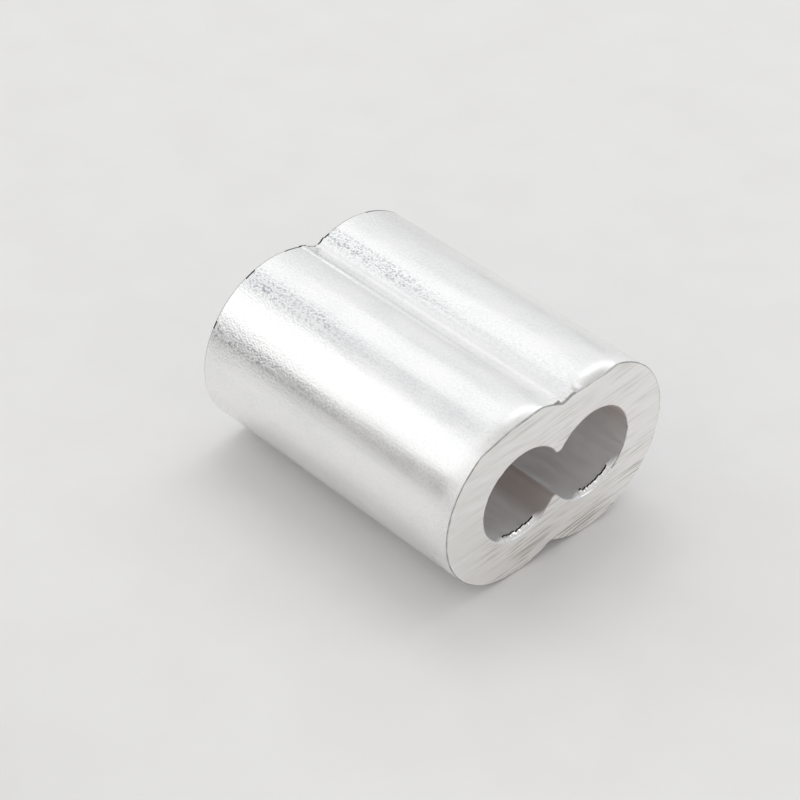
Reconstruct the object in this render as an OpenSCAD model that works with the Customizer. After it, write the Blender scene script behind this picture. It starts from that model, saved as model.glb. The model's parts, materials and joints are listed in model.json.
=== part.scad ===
// Two-lobed aluminium crimping sleeve for wire rope, cut from a drawn hourglass section.
// The rope goes out through one passage and back through the other, and the sleeve is pressed
// shut on both. X runs across the two lobes, Y along the rope and Z through the thickness.
// The origin is the middle of the sleeve.

/* [Wire rope] */
// Diameter of the wire rope that each passage takes
rope_d = 3; // [2.6:0.1:3.4]
// Play between the rope and its passage, over the diameter
rope_play = 0.6; // [0.3:0.1:0.9]

/* [Sleeve] */
// Length along the rope
sleeve_length = 12; // [6:0.5:30]
// How far the two passages run into each other, across the sleeve
passage_overlap = 0.3; // [0.1:0.1:0.9]
// Wall above and below each passage
wall = 1.6; // [1.2:0.1:2]
// Wall at the sleeve's two sides
side_wall = 1.7; // [1.3:0.1:2.1]

/* [Blends] */
// Radius at the bottom of the outer grooves between the lobes
groove_r = 0.3; // [0.1:0.05:0.6]
// Radius on the crest of the inner ridges between the passages
ridge_r = 0.2; // [0.1:0.05:0.4]

/* [Hidden] */
$fn = 96;

bore_r = (rope_d + rope_play) / 2;
bore_pitch = 2 * bore_r - passage_overlap;
lobe_r = bore_r + wall;
lobe_pitch = bore_pitch + 2 * (side_wall - wall);
cut_past = 1; // how far the passages' cutter runs past each sawn end
touch = 0.0001; // how far a blend reaches into the lobes that it joins, so that no sliver is left

// Height of the centre of a blend that touches both lobes, above the line through their centres
function blend_height(pitch, lobe, blend) = sqrt((lobe + blend) ^ 2 - (pitch / 2) ^ 2);

// Two equal circles side by side, with the notch between them rounded by a blend of its own radius
module two_lobes(pitch, lobe, blend) {
    height = blend_height(pitch, lobe, blend);
    for (side = [-1, 1])
        translate([side * pitch / 2, 0])
            circle(lobe);
    difference() {
        polygon([[-pitch / 2, 0], [0, -height], [pitch / 2, 0], [0, height]]);
        for (side = [-1, 1])
            translate([0, side * height])
                circle(blend + touch);
    }
}

// A section in the XZ plane, drawn out along Y and centred on the origin
module draw_out(length) {
    rotate([90, 0, 0])
        linear_extrude(height = length, center = true)
            children();
}

// The sleeve: the outer hourglass, less the two rope passages that open into each other
module ferrule_sleeve() {
    color("silver")
        difference() {
            draw_out(sleeve_length)
                two_lobes(lobe_pitch, lobe_r, groove_r);
            draw_out(sleeve_length + 2 * cut_past)
                two_lobes(bore_pitch, bore_r, ridge_r);
        }
}

ferrule_sleeve();
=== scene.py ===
"""A two-lobed aluminium crimping sleeve for wire rope, lying on a pale studio table.

Lengths are in metres. X runs across the sleeve's two lobes, Y along the rope and Z through the
thickness. The sleeve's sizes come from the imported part, so the dressed sleeve fills its box.
"""

import json
import logging
import math
import random
from dataclasses import dataclass, field, replace
from enum import Enum, IntEnum
from typing import Callable, Optional, Sequence

import bmesh
import bpy
from mathutils import Matrix, Vector


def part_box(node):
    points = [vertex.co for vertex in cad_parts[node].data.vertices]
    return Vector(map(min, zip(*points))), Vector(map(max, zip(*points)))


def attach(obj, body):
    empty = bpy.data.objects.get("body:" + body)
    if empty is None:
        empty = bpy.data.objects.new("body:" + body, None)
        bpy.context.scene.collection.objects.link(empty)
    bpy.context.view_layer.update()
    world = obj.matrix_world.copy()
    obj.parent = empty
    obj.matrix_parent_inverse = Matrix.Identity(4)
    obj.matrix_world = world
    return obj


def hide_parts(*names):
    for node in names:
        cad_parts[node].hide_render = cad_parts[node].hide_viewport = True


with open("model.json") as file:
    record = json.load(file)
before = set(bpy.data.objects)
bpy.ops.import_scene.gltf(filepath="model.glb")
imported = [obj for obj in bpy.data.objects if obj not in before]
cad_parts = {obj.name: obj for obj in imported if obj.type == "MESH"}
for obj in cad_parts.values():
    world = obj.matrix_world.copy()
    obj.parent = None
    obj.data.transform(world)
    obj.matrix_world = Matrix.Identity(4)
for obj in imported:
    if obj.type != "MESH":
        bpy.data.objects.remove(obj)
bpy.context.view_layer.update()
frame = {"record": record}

LOG = logging.getLogger("sleeve")
MM = 0.001
NODE = "ferrule_sleeve"

# Radii of the blends in the part's outer grooves and on its inner ridges
GROOVE_BLEND = 0.3 * MM
RIDGE_BLEND = 0.2 * MM

# How close a point has to be to count as at a place, on a curve or in a row
SAME_PLACE = 0.001 * MM
ON_CURVE = 0.002 * MM
SAME_ROW = 0.01 * MM

# How squarely a face has to look along Y to count as part of a sawn end
END_ON = 0.95

PointTest = Callable[[Vector], bool]
Socket = bpy.types.NodeSocket


class Zone(Enum):
    """Regions of the sleeve's surface, by their material slot's place."""

    SKIN = 0
    SAWN = 1
    PASSAGE = 2
    # Painted shade: grey on the outer bevels, darker towards the back end, and on a stretch of the
    # right passage's front bevel
    RIM = 3
    BURR = 4
    # Painted shade: near-black on stretches of the back rim and in the hollow behind each burr's
    # crest
    CREVICE = 5


class Side(IntEnum):
    """The two lobes, each with its passage, by the sign of their X."""

    LEFT = -1
    RIGHT = 1


class End(IntEnum):
    """The two sawn ends, by the sign of their Y."""

    FRONT = -1
    BACK = 1


# --------------------------------------------------------------------------------------------
# Mesh tools
# --------------------------------------------------------------------------------------------


def deselect_all() -> None:
    """Leave object mode with nothing selected."""
    if bpy.context.object and bpy.context.object.mode != "OBJECT":
        bpy.ops.object.mode_set(mode="OBJECT")
    bpy.ops.object.select_all(action="DESELECT")


def select_verts(piece: bpy.types.Object, test: PointTest) -> int:
    """Select the vertices that pass a test, in edit mode, and nothing else.

    Args:
        piece: the mesh object being edited.
        test: takes a vertex's place and says whether to select it.

    Returns:
        How many vertices were selected.
    """
    bpy.ops.mesh.select_mode(type="VERT")
    mesh = bmesh.from_edit_mesh(piece.data)
    count = 0
    for vert in mesh.verts:
        vert.select_set(False)
    for vert in mesh.verts:
        if not vert.hide and test(vert.co):
            vert.select_set(True)
            count += 1
    mesh.select_flush_mode()
    bmesh.update_edit_mesh(piece.data, loop_triangles=False, destructive=False)
    return count


def select_edges(piece: bpy.types.Object, test: Callable[[Vector, Vector], bool]) -> int:
    """Select the edges whose two ends pass a test, in edit mode, and nothing else.

    Args:
        piece: the mesh object being edited.
        test: takes the places of an edge's ends and says whether to select it.

    Returns:
        How many edges were selected.
    """
    bpy.ops.mesh.select_mode(type="EDGE")
    bpy.ops.mesh.select_all(action="DESELECT")
    mesh = bmesh.from_edit_mesh(piece.data)
    count = 0
    for edge in mesh.edges:
        if test(edge.verts[0].co, edge.verts[1].co):
            edge.select_set(True)
            count += 1
    bmesh.update_edit_mesh(piece.data, loop_triangles=False, destructive=False)
    return count


def select_faces(piece: bpy.types.Object, test: Callable[[Vector, Vector], bool]) -> int:
    """Select the faces that pass a test, in edit mode, and nothing else.

    Args:
        piece: the mesh object being edited.
        test: takes a face's middle and its normal and says whether to select it.

    Returns:
        How many faces were selected.
    """
    bpy.ops.mesh.select_mode(type="FACE")
    bpy.ops.mesh.select_all(action="DESELECT")
    mesh = bmesh.from_edit_mesh(piece.data)
    count = 0
    for face in mesh.faces:
        if test(face.calc_center_median(), face.normal):
            face.select_set(True)
            count += 1
    bmesh.update_edit_mesh(piece.data, loop_triangles=False, destructive=False)
    return count


def is_end_on(normal: Vector) -> bool:
    """Whether a face looks straight along Y, as the sawn ends do and their bevels do not."""
    return abs(normal.y) > END_ON


# --------------------------------------------------------------------------------------------
# The sleeve
# --------------------------------------------------------------------------------------------


@dataclass(frozen=True)
class TwoLobes:
    """Outline of two equal circles side by side, with a round blend in each notch between them.

    Attributes:
        pitch: the distance between the circles' centres, which lie on X.
        lobe: the circles' radius.
        blend: the blends' radius.
    """

    pitch: float
    lobe: float
    blend: float

    @property
    def blend_height(self) -> float:
        """Height of a blend's centre over the line through the lobes' centres."""
        return math.sqrt((self.lobe + self.blend) ** 2 - (self.pitch / 2) ** 2)

    @property
    def notch_angle(self) -> float:
        """Angle at a lobe's centre from that line to where the blend touches the lobe."""
        return math.atan2(self.blend_height, self.pitch / 2)

    def depth(self, place: Vector) -> float:
        """Distance from a point to the nearer lobe's circle, positive outside it."""
        side = math.copysign(self.pitch / 2, place.x)
        return math.hypot(place.x - side, place.z) - self.lobe

    def passes(self, place: Vector) -> bool:
        """Whether the outline passes through a point.

        Args:
            place: the point, at any place on Y.

        Returns:
            True for a point on either circle or on a blend between them.
        """
        beside = self.pitch / 2 - abs(place.x)
        if beside > 0 and math.atan2(abs(place.z), beside) < self.notch_angle:
            off = math.hypot(place.x, abs(place.z) - self.blend_height) - self.blend
        else:
            off = self.depth(place)
        return abs(off) < ON_CURVE

    def angle(self, place: Vector, side: Side) -> float:
        """Angle of a point round one lobe's axis, in degrees from +X towards +Z."""
        return math.degrees(math.atan2(place.z, place.x - side * self.pitch / 2))

    def axis(self, side: Side, along: float) -> Vector:
        """The point of one lobe's axis at a place on Y."""
        return Vector((side * self.pitch / 2, along, 0.0))

    def trace(self, along: float, lobe_steps: int, blend_steps: int) -> None:
        """Draw the outline as a closed chain of edges, by spinning one vertex round each centre.

        Args:
            along: the outline's place on Y.
            lobe_steps: edges round each lobe.
            blend_steps: edges round each blend.
        """
        half, height, notch = self.pitch / 2, self.blend_height, self.notch_angle
        start = (-half + self.lobe * math.cos(notch), along, self.lobe * math.sin(notch))
        bpy.ops.mesh.select_all(action="DESELECT")
        bpy.ops.mesh.primitive_plane_add(size=self.blend, location=start)
        bpy.ops.mesh.merge(type="CENTER")
        round_lobe = 2 * math.pi - 2 * notch
        round_blend = 2 * notch - math.pi
        stops = (
            (-half, 0.0, round_lobe, lobe_steps),
            (0.0, -height, round_blend, blend_steps),
            (half, 0.0, round_lobe, lobe_steps),
            (0.0, height, round_blend, blend_steps),
        )
        for across, up, angle, steps in stops:
            bpy.ops.mesh.spin(
                steps=steps, angle=angle, center=(across, along, up), axis=(0, 1, 0)
            )


@dataclass(frozen=True)
class Stretch:
    """A stretch of an end's edge, by its angles in degrees round a lobe's or a passage's axis.

    Attributes:
        side: the lobe, or the passage in it.
        start: the lower angle.
        stop: the higher angle.
        reach: how far the edge is drawn in.
        ease: how far beside the stretch its neighbours still follow it.
        ragged: how unevenly it is drawn in.
        seed: what its random draws start from.
    """

    side: Side
    start: float
    stop: float
    reach: float = 0.0
    ease: float = 0.35 * MM
    ragged: float = 0.0
    seed: int = 0

    def holds(self, angle: float) -> bool:
        """Whether an angle is in the stretch."""
        return self.start <= angle <= self.stop


@dataclass(frozen=True)
class Tatter:
    """A bit of torn metal that stands up from the skin at an end's edge.

    Attributes:
        across: the place of its middle on X.
        end: the end that it stands at.
        width: its width on X.
        rise: how far it stands up.
        seed: what its random draws start from.
    """

    across: float
    end: End
    width: float
    rise: float
    seed: int


@dataclass(frozen=True)
class Fraying:
    """How burrs are made ragged: random bits of them, a few degrees wide, go in or out.

    Attributes:
        spans: the bits' widths in degrees, one for each round of moves.
        bits: how many bits there are to draw, from the angle 0 downwards.
        odds: the chance that a bit moves.
        least: the smallest move, as a share of the burr's raggedness.
        most: the largest move, as a share of it.
        past: how many degrees past the burr's ends the bits go on.
    """

    spans: tuple = (8, 5, 3)
    bits: int = 60
    odds: float = 0.35
    least: float = 0.3
    most: float = 0.7
    past: float = 4.0


@dataclass
class Sleeve:
    """The sleeve's sizes, and how its mesh is drawn, sawn off and torn along its lips."""

    length: float
    outer: TwoLobes
    inner: TwoLobes
    lobe_steps: int = 190
    blend_steps: int = 10
    end_rings: int = 32
    skin_rows: int = 96
    passage_rows: int = 30
    break_width: float = 0.035 * MM

    # Distances from an end to the rows of points beside it
    rim_row: float = 0.08 * MM
    lip_row: float = 0.05 * MM
    ledge_row: float = 0.135 * MM
    crest_row: float = 0.19 * MM
    root_row: float = 0.25 * MM
    ease_row: float = 0.35 * MM
    calm_row: float = 0.44 * MM

    # How the ends' edges are torn and rolled over, and where shade is painted on them
    burrs: tuple = (
        Stretch(Side.LEFT, -112, -62, 0.15 * MM, ease=0.5 * MM, ragged=0.05 * MM, seed=3),
        Stretch(Side.RIGHT, -98, -47, 0.15 * MM, ease=0.5 * MM, ragged=0.06 * MM, seed=8),
    )
    rolled_edges: tuple = (
        Stretch(Side.RIGHT, 91, 98, 0.23 * MM, ease=0.95 * MM),
        Stretch(Side.LEFT, 96, 108, 0.20 * MM, ease=1.1 * MM),
    )
    # Stretches of the back rim where shade is painted near-black
    dark_edges: tuple = (
        Stretch(Side.LEFT, 147, 152),
        Stretch(Side.LEFT, 109, 117),
        Stretch(Side.LEFT, 60, 86),
        Stretch(Side.RIGHT, 110, 119),
        Stretch(Side.RIGHT, 48, 80),
    )
    # A stretch of the right passage's front bevel painted with the rim's grey shade
    dark_lip: Stretch = Stretch(Side.RIGHT, -47, 22)
    tatters: tuple = (
        Tatter(-0.05 * MM, End.FRONT, 0.75 * MM, 0.06 * MM, 16),
        Tatter(-0.25 * MM, End.FRONT, 0.12 * MM, 0.06 * MM, 11),
        Tatter(0.42 * MM, End.FRONT, 0.20 * MM, 0.05 * MM, 12),
        Tatter(0.62 * MM, End.FRONT, 0.10 * MM, 0.10 * MM, 13),
        Tatter(0.30 * MM, End.BACK, 0.15 * MM, 0.05 * MM, 14),
        Tatter(-0.6 * MM, End.BACK, 0.3 * MM, 0.04 * MM, 15),
    )
    tatter_reach: float = 0.285 * MM
    burr_shares: tuple = (0.6, 0.92, 1.0)
    fraying: Fraying = Fraying()

    # How uneven the sawn faces and the skin are
    saw_angle: float = math.radians(6)
    skin_margin: float = 0.2 * MM
    saw_waves: tuple = (3 * MM, MM, 0.35 * MM)
    saw_wave_height: float = 0.05 * MM
    skin_waves: tuple = (0.9 * MM, 5 * MM, 0.9 * MM)
    skin_wave_height: float = 0.025 * MM
    smooth_angle: float = math.radians(35)

    piece: Optional[bpy.types.Object] = field(default=None, repr=False)

    @classmethod
    def from_frame(cls, lowest: Vector, highest: Vector) -> "Sleeve":
        """Work the sleeve's sizes out from the CAD part's box and its rope mounts.

        Args:
            lowest: the CAD part's lowest corner.
            highest: the CAD part's highest corner.

        Returns:
            A sleeve that fills that box.
        """
        mounts = {m["name"]: m for m in frame["record"]["mounts"]}
        left, right = mounts["rope_bore_left"], mounts["rope_bore_right"]
        bore_pitch = right["pos_m"][0] - left["pos_m"][0]
        bore = left["dims"]["r_mm"] * MM
        lobe = (highest.z - lowest.z) / 2
        lobe_pitch = (highest.x - lowest.x) - 2 * lobe
        return cls(
            length=highest.y - lowest.y,
            outer=TwoLobes(lobe_pitch, lobe, GROOVE_BLEND),
            inner=TwoLobes(bore_pitch, bore, RIDGE_BLEND),
        )

    @property
    def half(self) -> float:
        """Half the sleeve's length."""
        return self.length / 2

    def build(self) -> bpy.types.Object:
        """Make the sleeve's mesh.

        Returns:
            The finished object, at the origin and unscaled.
        """
        self.draw_out()
        self.sort_zones()
        self.break_edges()
        self.roll_edges()
        self.darken_edges()
        self.tear_lips()
        self.raise_tatters()
        self.refine_skin()
        self.make_uneven()
        return self.piece

    def draw_out(self) -> None:
        """Fill the section between both outlines at the front end and extrude it to the back."""
        deselect_all()
        bpy.ops.mesh.primitive_plane_add(size=self.outer.blend)
        self.piece = bpy.context.object
        self.piece.name = self.piece.data.name = "drawn_sleeve"
        bpy.ops.object.mode_set(mode="EDIT")
        bpy.ops.mesh.delete(type="VERT")
        for outline in (self.outer, self.inner):
            outline.trace(-self.half, self.lobe_steps, self.blend_steps)
        bpy.ops.mesh.select_all(action="SELECT")
        bpy.ops.mesh.remove_doubles(threshold=SAME_PLACE)
        bpy.ops.mesh.bridge_edge_loops(number_cuts=self.end_rings, interpolation="LINEAR")
        bpy.ops.mesh.select_all(action="SELECT")
        rows = [self.lip_row, self.ledge_row, self.crest_row, self.root_row]
        rows += [self.ease_row, self.calm_row]
        rows += [self.length - self.root_row, self.length - self.rim_row, self.length]
        for start, stop in zip([0.0] + rows, rows):
            step = {"value": (0, stop - start, 0)}
            bpy.ops.mesh.extrude_region_move(TRANSFORM_OT_translate=step)
        bpy.ops.mesh.select_all(action="SELECT")
        bpy.ops.mesh.normals_make_consistent(inside=False)

    def in_middle(self, place: Vector) -> bool:
        """Whether a point is nearer to a passage's wall than to the skin."""
        return self.inner.depth(place) < (self.outer.lobe - self.inner.lobe) / 2

    def on_sawn_face(self, place: Vector) -> bool:
        """Whether a point is in the plane of either sawn end."""
        return abs(abs(place.y) - self.half) < SAME_PLACE

    def on_skin(self, place: Vector) -> bool:
        """Whether a point is on the skin or a little under it."""
        return not self.in_middle(place) and self.outer.depth(place) > -self.skin_margin

    def on_front(self, place: Vector) -> bool:
        """Whether a point is on the front sawn face or on the bevels round it."""
        return place.y < -self.half + 1.1 * self.break_width

    def on_front_edge(self, place: Vector) -> bool:
        """Whether a point of the front is on its outer bevel."""
        return self.outer.depth(place) > -2 * self.break_width

    def row_test(self, along: float, inside: bool) -> PointTest:
        """Make a test for the points of one row behind the front end.

        Args:
            along: how far behind the front end the row is.
            inside: whether it is round the passages and not round the skin.

        Returns:
            The test.
        """
        middle = -self.half + along

        def in_row(place: Vector) -> bool:
            """Whether a point is in the row."""
            return abs(place.y - middle) < SAME_ROW and self.in_middle(place) is inside

        return in_row

    def sort_zones(self) -> None:
        """Give the skin, the sawn ends and the passages their own material slots."""
        for _ in Zone:
            self.piece.data.materials.append(None)
        tests = {
            Zone.SAWN: lambda middle, normal: is_end_on(normal),
            Zone.PASSAGE: lambda middle, normal: not is_end_on(normal) and self.in_middle(middle),
        }
        for zone, test in tests.items():
            select_faces(self.piece, test)
            self.assign(zone)

    def assign(self, zone: Zone) -> None:
        """Give the selected faces a zone's material slot."""
        self.piece.active_material_index = zone.value
        bpy.ops.object.material_slot_assign()

    def break_edges(self) -> None:
        """Take the sharpness off the four edges that the saw left."""
        # The outer bevels get the rim's painted grey shade
        for outline, zone in ((self.outer, Zone.RIM), (self.inner, Zone.PASSAGE)):
            select_edges(
                self.piece,
                lambda first, second: all(
                    self.on_sawn_face(place) and outline.passes(place) for place in (first, second)
                ),
            )
            bpy.ops.mesh.bevel(
                offset=self.break_width,
                segments=2,
                profile=0.5,
                affect="EDGES",
                material=zone.value,
            )

    def roll_edges(self) -> None:
        """Roll the front end's upper edges over, as the cut dragged them down."""
        places = (self.lip_row, self.ledge_row, self.crest_row, self.root_row, self.ease_row)
        for roll in self.rolled_edges:
            self.pull(roll, roll.reach, self.on_front, self.on_front_edge)
            for along in places:
                row = self.row_test(along, inside=False)
                share = (1 - along / self.calm_row) ** 2
                self.pull(roll, share * roll.reach, row, row)

    def darken_edges(self) -> None:
        """Paint shade, near-black, on stretches of the back end's rim."""
        for dark in self.dark_edges:
            select_faces(
                self.piece,
                lambda middle, normal: middle.y > self.half - self.rim_row
                and not is_end_on(normal)
                and not self.in_middle(middle)
                and middle.x * dark.side > 0
                and dark.holds(self.outer.angle(middle, dark.side)),
            )
            self.assign(Zone.CREVICE)

    def tear_lips(self) -> None:
        """Push torn metal into the passages along the front end's lower lips."""
        front = -self.half
        places = (self.lip_row, self.ledge_row, self.crest_row)
        rows = [self.row_test(along, inside=True) for along in places]
        for burr in self.burrs:
            for row, share in zip(rows, self.burr_shares):
                self.pull(burr, share * burr.reach, row, row)
            self.fray(burr, rows)
            self.tone_lip(burr, Zone.BURR, front, front + self.root_row)
            # Painted shade: near-black in the hollow just behind each burr's crest
            self.tone_lip(burr, Zone.CREVICE, front + self.ledge_row, front + self.crest_row)
        # Painted shade: the rim's grey on a stretch of the right passage's front bevel
        self.tone_lip(self.dark_lip, Zone.RIM, front, front + self.break_width)

    def fray(self, burr: Stretch, rows: Sequence[PointTest]) -> None:
        """Make a burr ragged. Each random bit moves all its rows by the same amount.

        Args:
            burr: the burr.
            rows: tests for the points of its rows.
        """
        fraying = self.fraying
        draw = random.Random(burr.seed)
        centre = self.inner.axis(burr.side, -self.half + self.crest_row)
        wide = replace(burr, start=burr.start - fraying.past, stop=burr.stop + fraying.past)
        for span in fraying.spans:
            for way in (-1, 1):
                hit = {n for n in range(-fraying.bits, 1) if draw.random() < fraying.odds}
                reach = burr.ragged * draw.uniform(fraying.least, fraying.most)
                size = 1 + way * reach / self.inner.lobe
                for row in rows:
                    select_verts(
                        self.piece,
                        lambda place: row(place)
                        and place.x * wide.side > 0
                        and wide.holds(self.inner.angle(place, wide.side))
                        and round(self.inner.angle(place, wide.side) / span) in hit,
                    )
                    bpy.ops.transform.resize(value=(size, 1.0, size), center_override=centre)

    def tone_lip(self, stretch: Stretch, zone: Zone, low: float, high: float) -> None:
        """Give a zone's material slot to a stretch of the passages' walls.

        Args:
            stretch: the stretch.
            zone: the zone that it goes to.
            low: where on Y it starts.
            high: where on Y it ends.
        """
        select_faces(
            self.piece,
            lambda middle, normal: low < middle.y < high
            and not is_end_on(normal)
            and self.in_middle(middle)
            and middle.x * stretch.side > 0
            and stretch.holds(self.inner.angle(middle, stretch.side)),
        )
        self.assign(zone)

    def raise_tatters(self) -> None:
        """Tear up small bits of skin at the ends' edges in and beside the grooves."""
        for bit in self.tatters:
            end = bit.end * self.half
            select_verts(
                self.piece,
                lambda place: place.z > 0
                and SAME_PLACE < abs(place.y - end) < self.tatter_reach
                and abs(place.x - bit.across) < bit.width / 2
                and self.outer.depth(place) > -1.5 * self.break_width,
            )
            bpy.ops.transform.translate(value=(0.0, 0.0, bit.rise))
            bpy.ops.transform.vertex_random(offset=bit.rise / 2, seed=bit.seed)

    def pull(self, stretch: Stretch, reach: float, among: PointTest, edge: PointTest) -> None:
        """Draw a stretch of an edge in towards its lobe's axis, easing its neighbours after it.

        Args:
            stretch: the stretch that goes all the way.
            reach: how far it goes.
            among: says which points may follow.
            edge: says which points of the stretch's angles are on the edge.
        """
        torn = stretch in self.burrs
        shape = self.inner if torn else self.outer
        select_verts(self.piece, among)
        bpy.ops.mesh.hide(unselected=True)
        select_verts(
            self.piece,
            lambda place: place.x * stretch.side > 0
            and edge(place)
            and stretch.holds(shape.angle(place, stretch.side)),
        )
        size = 1 - reach / shape.lobe
        bpy.ops.transform.resize(
            value=(size, 1.0, size),
            center_override=shape.axis(stretch.side, 0.0),
            use_proportional_edit=True,
            proportional_edit_falloff="SMOOTH" if torn else "INVERSE_SQUARE",
            proportional_size=stretch.ease,
        )
        bpy.ops.mesh.reveal(select=False)

    def refine_skin(self) -> None:
        """Cut the long faces of the skin and the passages into short rows."""
        for inside, rows in ((False, self.skin_rows), (True, self.passage_rows)):
            select_edges(
                self.piece,
                lambda first, second: abs(first.y - second.y) > self.length / 2
                and self.in_middle(first) is inside,
            )
            bpy.ops.mesh.subdivide(number_cuts=rows)

    def make_uneven(self) -> None:
        """Give both sawn faces and the skin the slight unevenness of a sawn, drawn section."""
        groups = {"sawn_faces": self.on_sawn_face, "skin": self.on_skin}
        for name, test in groups.items():
            select_verts(self.piece, test)
            bpy.ops.object.vertex_group_assign_new()
            self.piece.vertex_groups.active.name = name
        bpy.ops.object.mode_set(mode="OBJECT")
        self.displace("sawn_faces", "Y", self.saw_waves, self.saw_angle, self.saw_wave_height)
        self.displace("skin", "NORMAL", self.skin_waves, 0.0, self.skin_wave_height)
        self.piece.vertex_groups.clear()
        bpy.ops.object.shade_smooth_by_angle(angle=self.smooth_angle)

    def displace(
        self, group: str, way: str, size: Sequence[float], turn: float, strength: float
    ) -> None:
        """Move some of the piece's points by a random pattern.

        Args:
            group: the vertex group to move.
            way: the direction to move in.
            size: the pattern's size along X, Y and Z.
            turn: how far it is turned about Y.
            strength: how far apart its highest and lowest points would be.
        """
        deselect_all()
        bpy.ops.object.empty_add(rotation=(0.0, turn, 0.0))
        guide = bpy.context.object
        guide.scale = size
        pattern = bpy.data.textures.new(group, "CLOUDS")
        pattern.noise_scale = 1.0
        deselect_all()
        self.piece.select_set(True)
        bpy.context.view_layer.objects.active = self.piece
        bpy.ops.object.modifier_add(type="DISPLACE")
        move = self.piece.modifiers[-1]
        move.texture, move.texture_coords, move.texture_coords_object = pattern, "OBJECT", guide
        move.vertex_group, move.direction, move.strength = group, way, strength
        bpy.context.view_layer.update()
        bpy.ops.object.modifier_apply(modifier=move.name)
        bpy.data.objects.remove(guide)
        bpy.data.textures.remove(pattern)

    def dress(self) -> None:
        """Give each zone of the surface its finish."""
        passage_reach = 0.6 * self.inner.lobe
        finishes = {
            Zone.SKIN: DrawnSkin().make(self.half),
            Zone.SAWN: SawnMetal().make(self.saw_angle, -self.outer.lobe),
            # Painted reflection: lighter and bluish low in the passages, darker and browner high in
            # them
            Zone.PASSAGE: PassageMetal(
                name="passage_aluminium",
                axis="Z",
                start=(0.95, 0.97, 0.985),
                stop=(0.84, 0.775, 0.745),
                roughness=0.6,
                stain=0.95,
            ).make(-passage_reach, passage_reach),
            # Painted shade: the bevels' grey, from mid grey at the front to dark at the back
            Zone.RIM: TwoTone(
                name="cut_rim",
                axis="Y",
                start=(0.55, 0.55, 0.55),
                stop=(0.2, 0.2, 0.2),
                roughness=0.35,
                stain=0.7,
            ).make(0.0, self.half),
            Zone.BURR: TwoTone(
                name="torn_lip",
                axis="Y",
                start=(0.98, 0.98, 0.98),
                stop=(0.94, 0.94, 0.94),
                roughness=0.25,
            ).make(-self.half, self.half),
            # Painted shade: near-black, for the back rim's dark stretches and the hollows behind
            # the burrs' crests
            Zone.CREVICE: TwoTone(
                name="painted_shade_black",
                axis="Y",
                start=(0.035, 0.035, 0.035),
                stop=(0.06, 0.06, 0.06),
                roughness=0.4,
                stain=0.6,
            ).make(-self.half, self.half),
        }
        for zone, material in finishes.items():
            self.piece.data.materials[zone.value] = material


# --------------------------------------------------------------------------------------------
# Finishes
# --------------------------------------------------------------------------------------------


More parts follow.
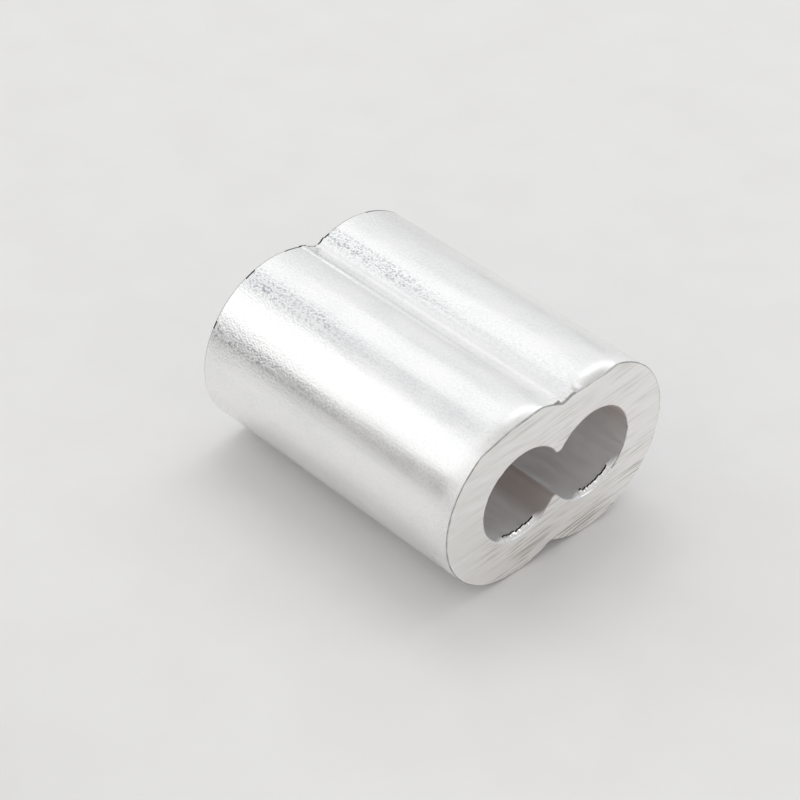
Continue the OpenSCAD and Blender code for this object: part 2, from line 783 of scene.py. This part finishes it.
class Dresser:
    """Lays out the nodes of a finish, with patterns fixed to the piece itself, or of the room."""

    def __init__(
        self, owner: bpy.types.Material | bpy.types.World, shader: str, coordinates: str
    ) -> None:
        """Start on a material or a world.

        Args:
            owner: what the nodes are for.
            shader: the name of the node that the patterns feed.
            coordinates: the texture coordinates that the patterns read.
        """
        owner.use_nodes = True
        self.owner = owner
        self.tree = owner.node_tree
        self.shader = self.tree.nodes[shader]
        self.place = self.tree.nodes.new("ShaderNodeTexCoord").outputs[coordinates]

    @classmethod
    def for_finish(cls, name: str) -> "Dresser":
        """Start a material of that name, with patterns in the piece's own coordinates."""
        return cls(bpy.data.materials.new(name), "Principled BSDF", "Object")

    def set(self, **values: float) -> None:
        """Set the shader's own sockets, by their names with spaces as underscores."""
        for name, value in values.items():
            self.shader.inputs[name.replace("_", " ").capitalize()].default_value = value

    def feed(self, socket: str, source: Socket) -> None:
        """Link a pattern to one of the shader's sockets."""
        self.tree.links.new(source, self.shader.inputs[socket])

    def _wire(self, node: bpy.types.Node, inputs: dict) -> None:
        """Link or set a node's inputs.

        Args:
            node: the node.
            inputs: sockets or plain values, by each input's name or number.
        """
        for key, value in inputs.items():
            if isinstance(value, Socket):
                self.tree.links.new(value, node.inputs[key])
            else:
                node.inputs[key].default_value = value

    def cells(self, size: Sequence[float], turn: float = 0.0) -> Socket:
        """Places on the piece, counted in cells of a pattern.

        Args:
            size: the cell's size along X, Y and Z.
            turn: how far the pattern is turned about Y.

        Returns:
            The scaled coordinates.
        """
        turned = self.tree.nodes.new("ShaderNodeMapping")
        self._wire(turned, {"Vector": self.place, "Rotation": (0.0, turn, 0.0)})
        scaled = self.tree.nodes.new("ShaderNodeMapping")
        self._wire(scaled, {"Vector": turned.outputs[0], "Scale": tuple(1 / s for s in size)})
        return scaled.outputs[0]

    def noise(
        self, size: Sequence[float], turn: float = 0.0, detail: float = 2.0, rough: float = 0.5
    ) -> Socket:
        """A soft random pattern from 0 to 1.

        Args:
            size: the size of its lumps along X, Y and Z.
            turn: how far it is turned about Y.
            detail: how many finer layers it has.
            rough: how strong each finer layer is.

        Returns:
            The pattern's value.
        """
        node = self.tree.nodes.new("ShaderNodeTexNoise")
        self._wire(
            node,
            {"Vector": self.cells(size, turn), "Scale": 1.0, "Detail": detail, "Roughness": rough},
        )
        return node.outputs["Fac"]

    def spread(self, value: Socket, low: float, high: float, start: float, end: float) -> Socket:
        """Map one stretch of a pattern's values onto another, softly, and hold it outside.

        Args:
            value: the pattern.
            low: the value that becomes start.
            high: the value that becomes end.
            start: what low becomes.
            end: what high becomes.

        Returns:
            The mapped pattern.
        """
        node = self.tree.nodes.new("ShaderNodeMapRange")
        node.interpolation_type = "SMOOTHSTEP"
        self._wire(node, {"Value": value, 1: low, 2: high, 3: start, 4: end})
        return node.outputs[0]

    def rise(self, value: Socket, low: float, high: float) -> Socket:
        """0 where a pattern is at low, and 1 where it is at high."""
        return self.spread(value, low, high, 0.0, 1.0)

    def fall(self, value: Socket, low: float, high: float) -> Socket:
        """1 where a pattern is at low, and 0 where it is at high."""
        return self.spread(value, low, high, 1.0, 0.0)

    def sum(self, *terms: tuple[Socket, float | Socket]) -> Socket:
        """Add patterns, each times its own weight.

        Args:
            terms: pairs of a pattern and its weight, which may itself be a pattern.

        Returns:
            The total.
        """
        total: Socket | float = 0.0
        for value, weight in terms:
            node = self.tree.nodes.new("ShaderNodeMath")
            node.operation = "MULTIPLY_ADD"
            self._wire(node, {0: value, 1: weight, 2: total})
            total = node.outputs[0]
        return total

    def band(self, value: Socket, middle: float, reach: float) -> Socket:
        """Mark where a value is near a middle one.

        Args:
            value: the value.
            middle: where the band is full.
            reach: how far from there it ends, on either side.

        Returns:
            1 near the middle, and 0 from the reach outwards.
        """
        rise = self.rise(value, middle - reach, middle - reach / 4)
        fall = self.fall(value, middle + reach / 4, middle + reach)
        return self.product(rise, fall)

    def product(self, value: Socket, other: float | Socket) -> Socket:
        """One pattern times another, or times a number."""
        return self.sum((value, other))

    def along(self, axis: str) -> Socket:
        """Read a point's place along one axis.

        Args:
            axis: X, Y or Z.

        Returns:
            The place.
        """
        node = self.tree.nodes.new("ShaderNodeSeparateXYZ")
        self._wire(node, {0: self.place})
        return node.outputs[axis]

    def tint(
        self, value: Socket, dark: Sequence[float] | Socket, light: Sequence[float] | Socket
    ) -> Socket:
        """Mix two colours by a pattern.

        Args:
            value: the pattern.
            dark: the colour where it is 0.
            light: the colour where it is 1.

        Returns:
            The mixed colour.
        """
        node = self.tree.nodes.new("ShaderNodeMix")
        node.data_type = "RGBA"
        ends = [tone if isinstance(tone, Socket) else (*tone, 1.0) for tone in (dark, light)]
        self._wire(node, {0: value, 6: ends[0], 7: ends[1]})
        return node.outputs[2]

    def relief(self, height: Socket, depth: float) -> None:
        """Raise the surface by a pattern.

        Args:
            height: the pattern.
            depth: how far it raises the surface from 0 to 1.
        """
        node = self.tree.nodes.new("ShaderNodeBump")
        self._wire(node, {"Height": height, "Distance": depth, "Strength": 1.0})
        self.feed("Normal", node.outputs[0])


@dataclass(frozen=True)
class DrawnSkin:
    """Bright skin of a drawn section, grainy to the back, with die lines and rubbed streaks."""

    name: str = "drawn_aluminium"
    bright: tuple = (0.95, 0.95, 0.945)
    dull: tuple = (0.86, 0.865, 0.87)
    rubbed: tuple = (0.44, 0.47, 0.51)
    grain: tuple = (0.072 * MM, 0.11 * MM, 0.072 * MM)
    lines: tuple = (0.09 * MM, 4 * MM, 0.09 * MM)
    clouds: tuple = (0.8 * MM, 1.6 * MM, 0.8 * MM)
    depth: float = 0.017 * MM
    line_weight: float = 0.12
    least_grain: float = 0.1
    front_roughness: float = 0.25
    back_roughness: float = 0.15
    roughness_swing: float = 0.03
    scuffed: float = 0.9 * MM
    scuffed_roughness: float = 0.25
    groove_width: float = 0.7 * MM
    groove_roughness: float = 0.2
    streaks: tuple = (
        (-3.06 * MM, 0.50 * MM),
        (0.62 * MM, 0.48 * MM),
        (-4.72 * MM, 0.20 * MM),
    )

    def make(self, half: float) -> bpy.types.Material:
        """Lay out the material.

        Args:
            half: half the sleeve's length.

        Returns:
            The material.
        """
        dress = Dresser.for_finish(self.name)
        dress.set(metallic=1.0)
        grain = dress.noise(self.grain, detail=2.0, rough=0.6)
        lines = dress.noise(self.lines, detail=1.5)
        clouds = dress.noise(self.clouds, detail=3.0)
        backward = dress.spread(dress.along("Y"), -0.3 * half, 0.9 * half, self.least_grain, 1.0)
        coarse = dress.product(grain, backward)
        dress.relief(dress.sum((coarse, 1.0), (lines, self.line_weight)), self.depth)
        dress.feed("Roughness", self.lay_roughness(dress, clouds, half))
        shade = dress.sum((grain, 0.6), (clouds, 0.4))
        plain = dress.tint(dress.rise(shade, 0.3, 0.6), self.dull, self.bright)
        specks = dress.fall(dress.sum((grain, 0.7), (lines, 0.3)), 0.40, 0.52)
        clumps = dress.spread(clouds, 0.35, 0.55, 0.45, 1.0)
        rubs = dress.product(dress.product(specks, clumps), self.lay_streaks(dress))
        rubs = dress.product(rubs, backward)
        dress.feed("Base Color", dress.tint(rubs, plain, self.rubbed))
        return dress.owner

    def lay_roughness(self, dress: Dresser, clouds: Socket, half: float) -> Socket:
        """Make the skin smoother to the back, and rougher in the groove and at the front edge.

        Args:
            dress: the material's nodes.
            clouds: a soft pattern that the roughness varies by.
            half: half the sleeve's length.

        Returns:
            The roughness.
        """
        along = dress.along("Y")
        uneven = dress.spread(clouds, 0.3, 0.7, -self.roughness_swing, self.roughness_swing)
        smear = dress.spread(along, -half, half, self.front_roughness, self.back_roughness)
        scuff = dress.spread(along, -half + self.scuffed, -half, 0.0, self.scuffed_roughness)
        groove = dress.band(dress.along("X"), 0.0, self.groove_width)
        return dress.sum(
            (uneven, 1.0), (smear, 1.0), (scuff, 1.0), (groove, self.groove_roughness)
        )

    def lay_streaks(self, dress: Dresser) -> Socket:
        """Lay soft streaks along the rope's way on the upper side.

        Args:
            dress: the material's nodes.

        Returns:
            1 in the middle of each streak and 0 beside it.
        """
        across = dress.along("X")
        streaks = dress.sum(*((dress.band(across, *streak), 1.0) for streak in self.streaks))
        return dress.product(streaks, dress.rise(dress.along("Z"), 0.0, MM))


@dataclass(frozen=True)
class SawnMetal:
    """Matt sawn metal with fine parallel scratches, and painted light that lightens it most towards
    the bottom.
    """

    name: str = "sawn_aluminium"
    bright: tuple = (0.96, 0.955, 0.94)
    dull: tuple = (0.88, 0.87, 0.855)
    scratch: tuple = (2.5 * MM, 1.0 * MM, 0.05 * MM)
    score: tuple = (5.0 * MM, 1.0 * MM, 0.16 * MM)
    gouge: tuple = (2.4 * MM, 1.0 * MM, 0.085 * MM)
    patch: tuple = (1.8 * MM, 1.0 * MM, 0.9 * MM)
    scored: tuple = (0.60, 0.575, 0.54)
    # Painted light: a near-white mixed into the face, most towards its bottom
    torn: tuple = (0.985, 0.98, 0.965)
    depth: float = 0.016 * MM
    roughness: tuple = (0.36, 0.5)
    upper_share: float = 0.42
    left_share: float = 0.2
    gouge_weight: float = 0.8
    painted_light_share: float = 0.8

    def make(self, turn: float, lowest: float) -> bpy.types.Material:
        """Lay out the material.

        Args:
            turn: the scratches' angle in the end's plane.
            lowest: the height of the end's lowest point, below 0.

        Returns:
            The material.
        """
        dress = Dresser.for_finish(self.name)
        dress.set(metallic=1.0)
        scratch = dress.noise(self.scratch, turn, detail=2.0, rough=0.6)
        score = dress.noise(self.score, turn, detail=1.0)
        gouge = dress.rise(dress.noise(self.gouge, turn, detail=1.0), 0.36, 0.5)
        low = dress.spread(dress.along("Z"), 0.8 * lowest, 0.1 * lowest, 1.0, self.upper_share)
        patch = dress.spread(dress.noise(self.patch, turn), 0.35, 0.6, 0.25, 1.0)
        left_edge, left_part = 1.1 * lowest, 0.75 * lowest
        inward = dress.spread(dress.along("X"), left_edge, left_part, self.left_share, 1.0)
        rough = dress.product(dress.product(low, inward), patch)
        fine = dress.sum((scratch, 0.35), (score, 0.35))
        height = dress.sum((fine, 1.0), (dress.product(gouge, rough), self.gouge_weight))
        dress.relief(height, self.depth)
        dress.feed("Roughness", dress.spread(score, 0.3, 0.7, *self.roughness))
        pits = dress.product(dress.fall(gouge, 0.0, 1.0), rough)
        plain = dress.tint(dress.rise(fine, 0.22, 0.45), self.dull, self.bright)
        # Painted light: mixes the near-white in, most towards the bottom of the face
        torn = dress.tint(dress.product(low, self.painted_light_share), plain, self.torn)
        dress.feed("Base Color", dress.tint(pits, torn, self.scored))
        return dress.owner


@dataclass(frozen=True)
class TwoTone:
    """Metal that shades from one tone to another along X, Y or Z, with soft clouds on both."""

    name: str
    axis: str
    start: tuple
    stop: tuple
    roughness: float
    stain: float = 0.9
    lump: tuple = (0.3 * MM, 1.2 * MM, 0.3 * MM)
    depth: float = 0.004 * MM
    roughness_swing: float = 0.05

    def make(self, low: float, high: float) -> bpy.types.Material:
        """Lay out the material.

        Args:
            low: where on the axis the first tone ends.
            high: where on the axis the second tone starts.

        Returns:
            The material.
        """
        dress = Dresser.for_finish(self.name)
        dress.set(metallic=1.0)
        lumps = dress.noise(self.lump, detail=3.0)
        dress.relief(lumps, self.depth)
        rough = (self.roughness - self.roughness_swing, self.roughness + self.roughness_swing)
        dress.feed("Roughness", dress.spread(lumps, 0.3, 0.7, *rough))
        shift = dress.rise(dress.along(self.axis), low, high)
        clean = dress.tint(shift, self.start, self.stop)
        dark_start = tuple(self.stain * share for share in self.start)
        dark_stop = tuple(self.stain * share for share in self.stop)
        stained = dress.tint(shift, dark_start, dark_stop)
        mottled = dress.tint(dress.rise(lumps, 0.35, 0.65), stained, clean)
        dress.feed("Base Color", self.shade(dress, mottled))
        return dress.owner

    def shade(self, dress: Dresser, colour: Socket) -> Socket:
        """Leave the colour as it is."""
        return colour


@dataclass(frozen=True)
class PassageMetal(TwoTone):
    """The passages' metal, with painted shade that browns the flank that the left passage has on
    each ridge.
    """

    # Painted shade: the brown of the ridges' left flanks
    flank: tuple = (0.66, 0.625, 0.615)
    middle: float = -0.28 * MM
    reach: float = 0.75 * MM

    def shade(self, dress: Dresser, colour: Socket) -> Socket:
        """Paint shade, brown, on the ridges' left flanks."""
        flank = dress.band(dress.along("X"), self.middle, self.reach)
        return dress.tint(flank, colour, self.flank)


# --------------------------------------------------------------------------------------------
# Studio
# --------------------------------------------------------------------------------------------


@dataclass(frozen=True)
class Viewpoint:
    """Where the camera stands and how it is held."""

    aim: tuple = (-0.90 * MM, 0.58 * MM, -0.30 * MM)
    heading: float = math.radians(45.32)
    dip: float = math.radians(37.85)
    roll: float = math.radians(2.58)
    distance: float = 84.35 * MM
    lens: float = 109.9

    def place(self) -> None:
        """Make the camera and look through it."""
        look = Vector(
            (
                math.sin(self.heading) * math.cos(self.dip),
                math.cos(self.heading) * math.cos(self.dip),
                -math.sin(self.dip),
            )
        )
        level = look.cross(Vector((0, 0, 1))).normalized()
        upright = level.cross(look)
        right = math.cos(self.roll) * level + math.sin(self.roll) * upright
        up = math.cos(self.roll) * upright - math.sin(self.roll) * level
        bpy.ops.object.camera_add()
        camera = bpy.context.object
        camera.name = "studio_camera"
        camera.matrix_world = (
            Matrix.Translation(Vector(self.aim) - self.distance * look)
            @ Matrix((right, up, -look)).transposed().to_4x4()
        )
        camera.data.lens = self.lens
        camera.data.clip_start = 5 * MM
        bpy.context.scene.camera = camera


@dataclass(frozen=True)
class Softbox:
    """An oblong soft light that faces the sleeve, with its width turned round the rope's way."""

    name: str
    toward: tuple
    distance: float
    width: float
    height: float
    radiance: float
    mirrored: bool = True

    def hang(self) -> None:
        """Hang the light and turn it to the sleeve."""
        bpy.ops.object.light_add(type="AREA")
        lamp = bpy.context.object
        lamp.name = self.name
        away = Vector(self.toward).normalized()
        wide = Vector((0, 1, 0)).cross(away).normalized()
        turn = Matrix((wide, away.cross(wide), away)).transposed().to_4x4()
        lamp.matrix_world = Matrix.Translation(self.distance * away) @ turn
        lamp.data.shape = "RECTANGLE"
        lamp.data.size = self.width
        lamp.data.size_y = self.height
        lamp.data.energy = self.radiance * math.pi * self.width * self.height
        lamp.visible_glossy = self.mirrored


@dataclass(frozen=True)
class Studio:
    """A pale table top in a pale room with soft lights and a slightly darker strip overhead."""

    table_width: float = 0.9
    board_low: tuple = (0.80, 0.80, 0.80)
    board_high: tuple = (0.82, 0.82, 0.822)
    # Painted shade: the tone that the table darkens to, far to the left
    board_far_shade: tuple = (0.45, 0.45, 0.45)
    wall_tone: tuple = (0.87, 0.873, 0.876)
    dim_tone: tuple = (0.10, 0.10, 0.10)
    warm_tone: tuple = (0.71, 0.665, 0.615)
    gap_tone: tuple = (0.36, 0.38, 0.41)

    # The table top's specks, and the painted shade that darkens it to the far tone towards -X
    speck: float = 3 * MM
    board_fade: tuple = (-45 * MM, -12 * MM)
    board_far_shade_share: float = 0.62

    # Directions between which each shade of the room comes or goes, and its strength
    low_fade: tuple = (0.05, 0.42)
    left_fade: tuple = (-0.85, 0.3)
    front_fade: tuple = (-0.7, 0.3)
    behind_fade: tuple = (-0.35, 0.35)
    low_dim: float = 0.22
    left_dim: float = 0.39
    front_dim: float = 0.2
    behind_dim: float = 0.24
    gap_left: tuple = (-0.22, -0.08)
    gap_right: tuple = (-0.04, 0.10)
    gap_foot: tuple = (0.4, 0.7)
    gap_share: float = 0.17
    warm_fade: tuple = (-0.9, 0.1)
    warm_share: float = 0.8

    lights: tuple = (
        Softbox("key_softbox", (-0.607, 0.56, 0.562), 0.40, 0.284, 0.65, 0.27),
        Softbox("fill_softbox", (0.29, 0.57, 0.77), 0.45, 0.22, 0.22, 0.18),
        Softbox("side_softbox", (0.60, 0.05, 0.80), 0.45, 0.24, 0.24, 0.95),
        Softbox("top_softbox", (0.25, 0.35, 0.90), 0.45, 0.20, 0.20, 1.65, mirrored=False),
    )

    def set_up(self, level: float) -> None:
        """Make the table, the lights and the room.

        Args:
            level: the height of the table top.
        """
        self.lay_table(level)
        for light in self.lights:
            light.hang()
        self.paint_room()
        bpy.context.scene.view_settings.view_transform = "Standard"

    def lay_table(self, level: float) -> None:
        """Make the table top.

        Args:
            level: its height.
        """
        deselect_all()
        bpy.ops.mesh.primitive_plane_add(size=self.table_width, location=(0, 0, level))
        table = bpy.context.object
        table.name = "table_top"
        bpy.ops.object.transform_apply(location=True, rotation=True, scale=True)
        dress = Dresser.for_finish("pale_board")
        dress.set(roughness=0.6)
        specks = dress.noise((self.speck, self.speck, self.speck), detail=4.0)
        plain = dress.tint(dress.rise(specks, 0.3, 0.7), self.board_low, self.board_high)
        # Painted shade: darker towards the far left of the table
        away = dress.spread(dress.along("X"), *self.board_fade, self.board_far_shade_share, 0.0)
        dress.feed("Base Color", dress.tint(away, plain, self.board_far_shade))
        table.data.materials.append(dress.owner)

    def paint_room(self) -> None:
        """Give the room its pale walls, dimmer at table height and dimmest to the left."""
        room = bpy.data.worlds.new("studio_room")
        bpy.context.scene.world = room
        dress = Dresser(room, "Background", "Generated")
        up, across, along = (dress.along(axis) for axis in "ZXY")
        low = dress.fall(up, *self.low_fade)
        left = dress.fall(across, *self.left_fade)
        front = dress.fall(along, *self.front_fade)
        behind = dress.fall(along, *self.behind_fade)
        dim = dress.sum(
            (low, self.low_dim),
            (dress.product(low, left), self.left_dim),
            (dress.product(low, front), self.front_dim),
            (behind, self.behind_dim),
        )
        walls = dress.tint(dim, self.wall_tone, self.dim_tone)
        gap = dress.product(dress.rise(across, *self.gap_left), dress.fall(across, *self.gap_right))
        high = dress.product(gap, dress.rise(up, *self.gap_foot))
        ceiling = dress.tint(dress.product(high, self.gap_share), walls, self.gap_tone)
        front_left = dress.fall(dress.sum((across, 0.7), (along, 0.7)), *self.warm_fade)
        warm = dress.product(front_left, self.warm_share)
        dress.feed("Color", dress.tint(warm, ceiling, self.warm_tone))


def main() -> None:
    """Build and dress the sleeve, then set up the studio round it."""
    logging.basicConfig(level=logging.INFO, format="%(message)s")
    lowest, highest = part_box(NODE)
    Viewpoint().place()
    Studio().set_up(lowest.z)
    sleeve = Sleeve.from_frame(lowest, highest)
    piece = sleeve.build()
    sleeve.dress()
    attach(piece, "root")
    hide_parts(NODE)
    LOG.info("%s: %d faces", piece.name, len(piece.data.polygons))


if __name__ == "__main__":
    main()
